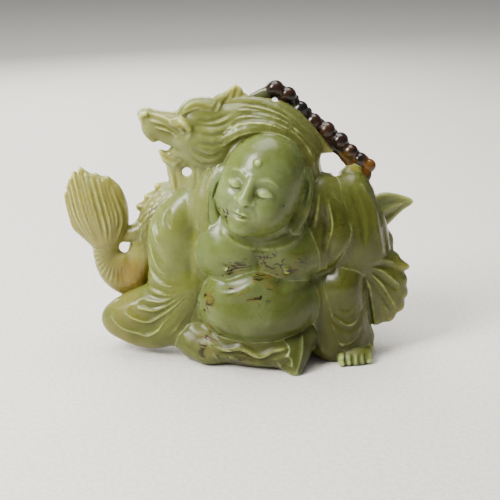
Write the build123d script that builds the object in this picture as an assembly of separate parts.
"""A carved jade figurine: a seated monk with a maned, scaly beast curled round his back.

The real carving is cut from one block, so the pieces here are its carved elements. Each is a closed
solid that meets its neighbours face to face, and none of them moves. Millimetres, +Z up, +X towards
the monk's left hand; the monk looks along -Y. The origin is on the flat underside, under the middle
of the carving.
"""

import os

from build123d import *

# ------------------------------------------------------------------ driving dimensions
# Places are measured from a point MIDDLE away from the origin; the last loop moves them all.
WIDTH, DEPTH, HEIGHT = 120.0, 50.0, 95.0  # the block that the carving was cut from
MIDDLE = (1.7, 1.5)  # the block's middle, in the places below
FRAGMENT = 0.08  # a cut-off crumb under this share of its piece is dropped

HEAD_AT, HEAD_RADII, HEAD_LEAN = (8.0, -7.5, 63.5), (14.0, 14.0, 18.0), 20.0
RIGHT_EAR_AT, LEFT_EAR_AT = (-5.4, -6.0, 58.5), (23.0, -4.0, 59.0)
EAR_RADII, EAR_LEAN = (2.6, 4.0, 9.5), 10.0

CHEST_AT, CHEST_RADII = (7.0, 0.0, 42.0), (21.0, 13.0, 16.0)
BREAST_RADII = (11.0, 10.0, 10.5)
RIGHT_BREAST_AT, LEFT_BREAST_AT = (-3.5, -7.5, 40.0), (16.0, -7.0, 38.5)
BELLY_AT, BELLY_RADII = (7.0, -7.0, 22.5), (21.5, 15.5, 13.5)
BACK_AT, BACK_RADII = (7.0, 7.0, 26.0), (30.0, 13.5, 34.0)

DRILL_R = 1.7  # the carver's drill, for the small holes through the stone
BEADS, BEAD_Y = 9, 8.0
TOUCH = 0.02  # the room left between two carved elements that only touch

BODY_PATH = [  # from the beast's nape, round the monk's back, to the root of its tail
    (12.0, 11.0, 76.0),
    (27.0, 14.0, 65.0),
    (34.0, 16.0, 50.0),
    (25.0, 18.0, 35.0),
    (6.0, 18.5, 32.0),
    (-10.0, 17.0, 43.0),
    (-20.0, 12.0, 53.0),
    (-30.0, 9.0, 48.5),
    (-35.0, 7.5, 36.0),
    (-37.5, 6.5, 26.0),
]
BODY_RADII = [7.5, 8.0, 8.0, 7.8, 7.5, 7.2, 6.5, 6.0, 6.2, 6.0]


# ------------------------------------------------------------------ shape helpers
def ellipsoid(centre, radii, lean=0.0, turn=0.0):
    """An ellipsoid that leans by degrees about Y, after turning by degrees about Z."""
    return Pos(*centre) * Rot(0, lean, 0) * Rot(0, 0, turn) * scale(Sphere(1), by=radii)


def limb(points, radii, flat=1.0):
    """A tapered round limb: a loft of ellipses along a spline, with a blunt tip at each end.

    flat is the limb's depth front to back over its width.
    """
    path = Spline(*points)
    length = path.length
    places = [path.param_at_point(Vector(*point)) for point in points]
    stations = list(zip(places, radii))
    tips = ((0.0, -1, radii[0]), (1.0, 1, radii[-1]))

    def section(at, along, radius, shift=0.0):
        across = along.cross(Vector(0, 1, 0))
        plane = Plane(origin=at + along * shift, x_dir=across, z_dir=along)
        return plane * Ellipse(radius, radius * flat)

    sections = [section(path @ t, path % t, radius) for t, radius in stations]
    for t, way, radius in tips:
        cap = section(path @ t, path % t, radius * 0.6, way * min(radius * 0.55, length))
        sections = [cap, *sections] if way < 0 else [*sections, cap]
    return loft(sections)


def plate(outline, y, thickness, hole=None, rim=0.0):
    """A flat carved leaf, sleeve or web that stands across Y, with rounded rims."""
    face = Plane.XZ.offset(-y) * make_face(Spline(*outline, periodic=True).edges())
    body = extrude(face, thickness / 2, both=True)
    if rim:
        body = fillet(body.edges(), rim)
    if hole:
        x, z = hole
        body -= Pos(x, y, z) * Rot(90, 0, 0) * Cylinder(DRILL_R, 3 * thickness)
    return body


def above_ground(shape):
    """The shape with whatever would reach below the ground face cut flat."""
    ground = Pos(0, 0, -HEIGHT / 2) * Box(2 * WIDTH, 2 * DEPTH, HEIGHT)
    return shape - ground


# ------------------------------------------------------------------ the monk
def head():
    return ellipsoid(HEAD_AT, HEAD_RADII, HEAD_LEAN)


def ear(centre, lean):
    return ellipsoid(centre, EAR_RADII, lean)


def chest():
    breasts = [ellipsoid(at, BREAST_RADII) for at in (RIGHT_BREAST_AT, LEFT_BREAST_AT)]
    return ellipsoid(CHEST_AT, CHEST_RADII) + breasts[0] + breasts[1]


def belly():
    return ellipsoid(BELLY_AT, BELLY_RADII)


def robe_back():
    return above_ground(ellipsoid(BACK_AT, BACK_RADII))


def right_arm():
    points = [(-8, 1, 56), (-16, 1, 53), (-21.5, 0, 46), (-22, -1, 37), (-18.5, -4, 29)]
    return limb(points, [6, 7.5, 8.8, 8.8, 7.5])


def right_sleeve():
    outline = [
        (-16, 22), (-20, 11), (-24, 3.5), (-32, 0.3), (-42, 3.5), (-48.5, 9),
        (-48.5, 14.5), (-41, 19.5), (-33, 24), (-30, 32), (-20, 32),
    ]
    return above_ground(plate(outline, -1.0, 13.0, rim=3.0))


def left_arm():
    points = [(33, 3, 58), (40, 4, 56), (45, 4, 47), (46, 2, 38)]
    return limb(points, [7, 8.5, 8, 7])


def left_sleeve():
    outline = [
        (41, 37), (49, 38), (56, 33.5), (60.5, 28.5), (60.5, 20), (58, 13),
        (51, 10.5), (44.5, 13), (41.5, 22),
    ]
    return plate(outline, 1.0, 10.0, rim=2.5)


def left_chest_robe():
    return ellipsoid((29, 2, 45), (9.5, 10, 18))


def left_knee():
    points = [(36.3, -5, 30), (37, -7.5, 20), (38.5, -8.5, 10), (39.5, -9, 4)]
    return above_ground(limb(points, [6.6, 6.9, 6.5, 6.0]))


def left_foot():
    instep = ellipsoid((40, -9.5, 2.0), (6.5, 6.0, 4.2))
    toes = [
        Pos(34.8 + 2.2 * i, -14.0 + 0.25 * (i - 2) ** 2, 1.5) * Sphere(1.7)
        for i in range(5)
    ]
    return above_ground(instep + toes)


def robe_skirt():
    return above_ground(ellipsoid((30, -1, 16), (10, 11.5, 20)))


def right_knee():
    return above_ground(ellipsoid((-14, -4.5, 7.5), (9.5, 9, 8.5)))


def right_shin():
    points = [(-12, -6, 6), (-2, -10.5, 6.5), (7, -14, 6.5), (13, -16, 6.5)]
    return above_ground(limb(points, [6.5, 6.5, 6.2, 5.8]))


def right_foot():
    points = [(16.5, -15.5, 7.5), (20, -18, 6), (20.3, -20, 2)]
    return above_ground(limb(points, [5.0, 4.6, 3.0]))


def right_collar():
    points = [(-1.5, 0, 74), (-8, -1, 67), (-10.5, -2, 58), (-9, -4, 50)]
    return limb(points, [3.2, 4.0, 4.4, 3.6])


# ------------------------------------------------------------------ the beast
def beast_skull():
    points = [(-2, 4, 83), (-11, 3, 80.5), (-19, 1.5, 79.5)]
    return limb(points, [8.0, 9.2, 6.8], flat=0.85)


def beast_snout():
    return ellipsoid((-25.5, 0.0, 81.8), (8.5, 5.2, 5.0), lean=10)


def beast_jaw():
    points = [(-15, 1.5, 72.5), (-20.5, 1, 71), (-25, 0.5, 71.8)]
    return limb(points, [3.6, 2.5, 1.6])


def beast_brow():
    return ellipsoid((-13.5, 1.5, 87.0), (7.0, 6.5, 3.6), lean=4)


def beast_horn():
    points = [(-9, 3, 87), (-5, 3.5, 90), (-1.5, 4, 93)]
    return limb(points, [3.2, 3.0, 1.6])


def beast_beard():
    outline = [(-24.5, 70), (-23.3, 62), (-22, 56), (-12, 58), (-6, 68), (-12, 76), (-19, 73)]
    return plate(outline, 3.0, 8.0, hole=(-17.5, 65.0))


def beast_mane():
    points = [(-4, 5, 78), (4, 6, 83), (14, 6.5, 83), (23, 6.5, 75.5), (27, 6, 65), (27, 4, 56)]
    return limb(points, [6.0, 6.0, 5.6, 5.2, 4.4, 3.6], flat=1.25)


def beast_body():
    return limb(BODY_PATH, BODY_RADII)


def spine_ridge():
    """Flame-shaped plates along the outside of the body where it comes down at the left."""
    places = [(-25.5, 59.0, 60), (-30.0, 56.0, 40), (-34.0, 51.5, 25), (-37.0, 46.0, 10)]
    plates = [
        Pos(x, 9.0, z) * Rot(0, -lean, 0) * scale(Sphere(1), by=(3.0, 1.6, 3.6))
        for x, z, lean in places
    ]
    return plates


def beast_tail():
    points = [(-38, 6.5, 21), (-43, 6, 23.5), (-46.5, 6, 30), (-46.5, 6, 37.5)]
    return limb(points, [5.0, 5.0, 5.0, 5.4])


def tail_tuft():
    points = [(-46.5, 6, 40), (-47, 6, 47), (-48.5, 6, 56), (-53, 6, 62)]
    return limb(points, [6.0, 9.8, 10.5, 5.5], flat=0.75)


def flame_fin():
    outline = [(45, 50), (51, 54), (57, 53.8), (61.3, 50.8), (58, 46), (53, 40), (46, 41)]
    return plate(outline, 14.0, 5.0, rim=1.2)


# ------------------------------------------------------------------ the rosary
def bead_string():
    """Beads cut down the mane's edge to the left shoulder, each one just touching the next."""
    crown, elbow, end = (12.6, BEAD_Y, 92.6), (30.4, BEAD_Y, 78.6), (45.0, 6.5, 66.2)
    run = Polyline(crown, elbow, end)
    radius = run.length / (BEADS - 1) / 2 - TOUCH
    return [Pos(run @ (i / (BEADS - 1))) * Sphere(radius) for i in range(BEADS)]


def bead_web():
    """The thin skin of stone that ties the top bead to the mane, with one small drilled hole."""
    points = [(2.5, 8, 89), (7, 8, 90.5), (11, 8, 91)]
    return limb(points, [1.5, 2.4, 2.4])


# ------------------------------------------------------------------ assembly
def carve():
    """Every piece, in the order in which it keeps its full shape; later ones give way."""
    return {
        "head": head(),
        "belly": belly(),
        "left_knee": left_knee(),
        "right_foot": right_foot(),
        "right_ear": ear(RIGHT_EAR_AT, EAR_LEAN),
        "left_ear": ear(LEFT_EAR_AT, EAR_LEAN - 4),
        "chest": chest(),
        "bead_string": bead_string(),
        "right_arm": right_arm(),
        "left_arm": left_arm(),
        "left_foot": left_foot(),
        "right_shin": right_shin(),
        "right_knee": right_knee(),
        "right_sleeve": right_sleeve(),
        "left_sleeve": left_sleeve(),
        "beast_snout": beast_snout(),
        "beast_brow": beast_brow(),
        "beast_horn": beast_horn(),
        "beast_jaw": beast_jaw(),
        "beast_skull": beast_skull(),
        "beast_mane": beast_mane(),
        "right_collar": right_collar(),
        "beast_beard": beast_beard(),
        "left_chest_robe": left_chest_robe(),
        "robe_skirt": robe_skirt(),
        "tail_tuft": tail_tuft(),
        "beast_tail": beast_tail(),
        "beast_body": beast_body(),
        "spine_ridge": spine_ridge(),
        "flame_fin": flame_fin(),
        "bead_web": bead_web(),
        "robe_back": robe_back(),
    }


def solids_of(shape):
    if isinstance(shape, (list, tuple)):
        return [solid for part in shape for solid in solids_of(part)]
    return list(shape.solids())


def boxes_meet(a, b):
    return all(
        low <= high
        for low, high in (*zip(a.min, b.max), *zip(b.min, a.max))
    )


def give_way(solid, placed):
    """The solid with every placed neighbour cut out of it, less the crumbs that fall off."""
    parts = [solid]
    for other, other_box in placed:
        left = []
        for part in parts:
            if boxes_meet(part.bounding_box(optimal=False), other_box):
                left += solids_of(part - other)
            else:
                left.append(part)
        parts = left
    largest = max(part.volume for part in parts)
    return [part for part in parts if part.volume > FRAGMENT * largest]


os.makedirs("parts", exist_ok=True)
to_middle = Pos(-MIDDLE[0], -MIDDLE[1], 0)
placed = []
for name, shape in carve().items():
    solids = [part for solid in solids_of(shape) for part in give_way(solid, placed)]
    placed += [(solid, solid.bounding_box(optimal=False)) for solid in solids]
    moved = [to_middle * solid for solid in solids]
    export_step(Compound(label=name, children=moved), f"parts/{name}.step")
